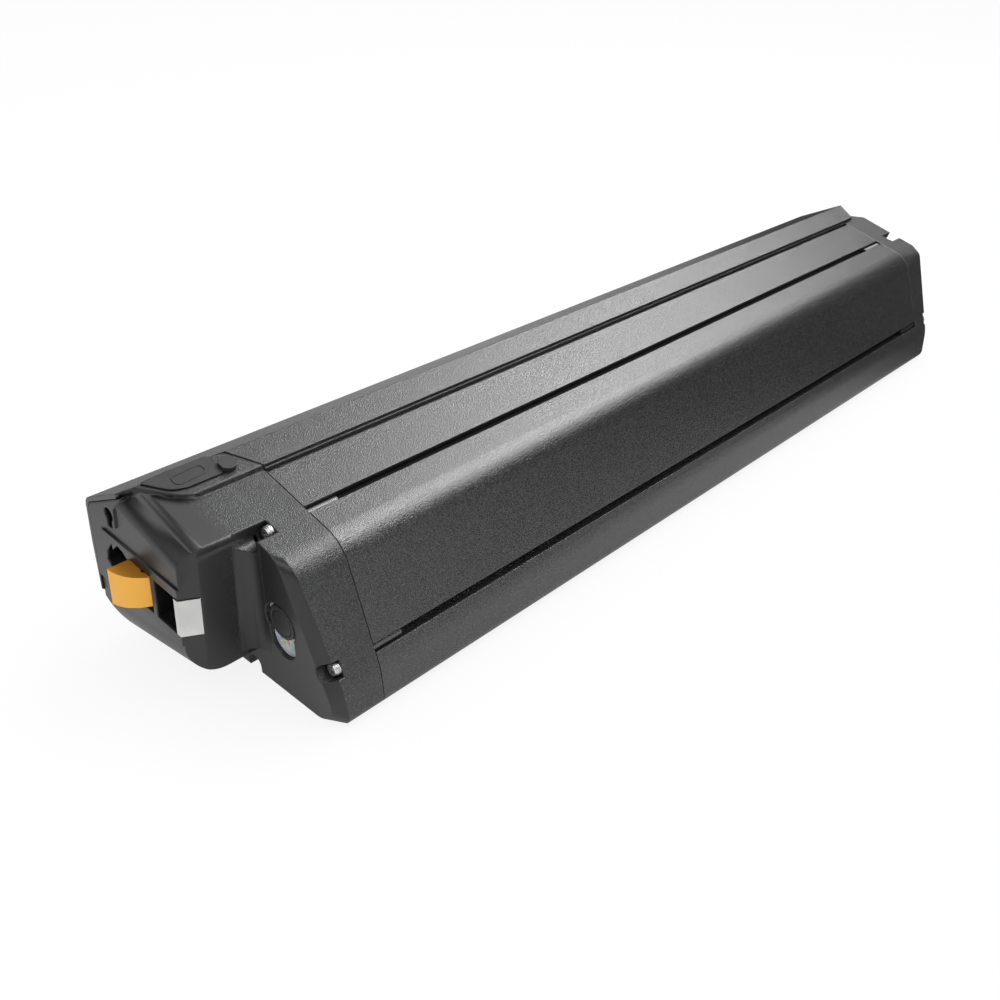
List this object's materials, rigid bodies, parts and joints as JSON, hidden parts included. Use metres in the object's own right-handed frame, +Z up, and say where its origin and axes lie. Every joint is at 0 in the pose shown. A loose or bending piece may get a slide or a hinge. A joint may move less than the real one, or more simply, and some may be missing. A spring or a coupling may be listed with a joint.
{
  "type": "e-bike downtube battery",
  "caption": "Long removable battery for a bicycle's down tube: coated metal tube with a cover plate, head cap with latch, charge port and button, tail cap with connector",
  "frame": {"origin": "bottom centre of the bounding box, on the flat base", "axes": "X runs along the battery with the head cap (latch, charge port, button) at -X and the connector at +X; +Y is the side with the cover plate, the side that faces away from the bicycle frame when fitted; +Z is up from the flat base"},
  "size_m": [0.466, 0.0956, 0.0718],
  "materials": {
    "tube_black": "fine textured satin black coat on extruded aluminium",
    "cover_black": "fine textured satin black coat on bent sheet",
    "cap_black": "finely grained black moulding",
    "gasket_rubber": "matte",
    "screw_steel": "zinc plated",
    "flap_rubber": "matte soft rubber",
    "socket_plastic": "moulded",
    "contact_brass": "plated contact metal",
    "button_black": "smooth rubber",
    "window_pale": "frosted clear moulding",
    "board_green": "lacquered circuit board",
    "lamp_clear": "clear lamp bodies",
    "latch_gold": "yellow gold coat",
    "spring_steel": "spring wire",
    "strike_steel": "brushed bent sheet",
    "cell_sleeve": "shrink sleeve over a can of about aluminium's mean density",
    "bracket_white": "moulded",
    "nickel": "nickel strip",
    "sheet_grey": "insulating sheet",
    "pad_foam": "closed-cell foam",
    "chip_black": "moulded chip bodies",
    "heat_aluminium": "plain sheet",
    "fuse_tan": "ceramic tube",
    "lead_red": "insulated lead",
    "lead_black": "insulated lead",
    "lead_white": "insulated lead"
  },
  "bodies": {
    "housing": {"battery_tube": "tube_black", "outer_cover": "cover_black", "head_cap": "cap_black", "tail_cap": "cap_black", "head_gasket": "gasket_rubber", "tail_gasket": "gasket_rubber", "head_screws": "screw_steel", "tail_screws": "screw_steel", "charge_socket": "socket_plastic", "charge_pin": "contact_brass", "socket_nut": "screw_steel", "light_window": "window_pale", "button_board": "board_green", "button_switch": "screw_steel", "indicator_lamps": "lamp_clear", "latch_pin": "screw_steel", "latch_spring": "spring_steel", "strike_plate": "strike_steel", "strike_screw": "screw_steel", "cells": "cell_sleeve", "cell_bracket_inner": "bracket_white", "cell_bracket_outer": "bracket_white", "nickel_strips_inner": "nickel", "nickel_strips_outer": "nickel", "insulation_inner": "sheet_grey", "insulation_outer": "sheet_grey", "base_pad": "pad_foam", "control_board": "board_green", "control_transistors": "chip_black", "heat_plate": "heat_aluminium", "balance_plug": "bracket_white", "fuse": "fuse_tan", "discharge_socket": "socket_plastic", "discharge_blades": "contact_brass", "signal_pins": "contact_brass", "socket_screws": "screw_steel", "positive_lead": "lead_red", "negative_lead": "lead_black", "charge_leads": "lead_red", "button_lead": "lead_white", "balance_lead": "lead_white"},
    "latch_bolt": {"latch": "latch_gold"},
    "flap": {"charge_flap": "flap_rubber"},
    "button": {"power_button": "button_black"}
  },
  "joints": [
    {"name": "latch_slide", "type": "slide", "parent": "housing", "child": "latch_bolt", "axis": [1, 0, 0], "range_m": [0, 0.007], "stiffness_N_per_m": 400, "springref_m": -0.006, "deforming": ["latch_spring"]},
    {"name": "flap_hinge", "type": "hinge", "parent": "housing", "child": "flap", "pos_m": [-0.21939, 0.02031, 0.07103], "axis": [0, -0.9677, -0.2521], "range_deg": [0, 100]},
    {"name": "button_press", "type": "slide", "parent": "housing", "child": "button", "axis": [0.9987, 0, 0.0506], "range_m": [0, 0.0007], "stiffness_N_per_m": 300, "springref_m": -0.002}
  ]
}
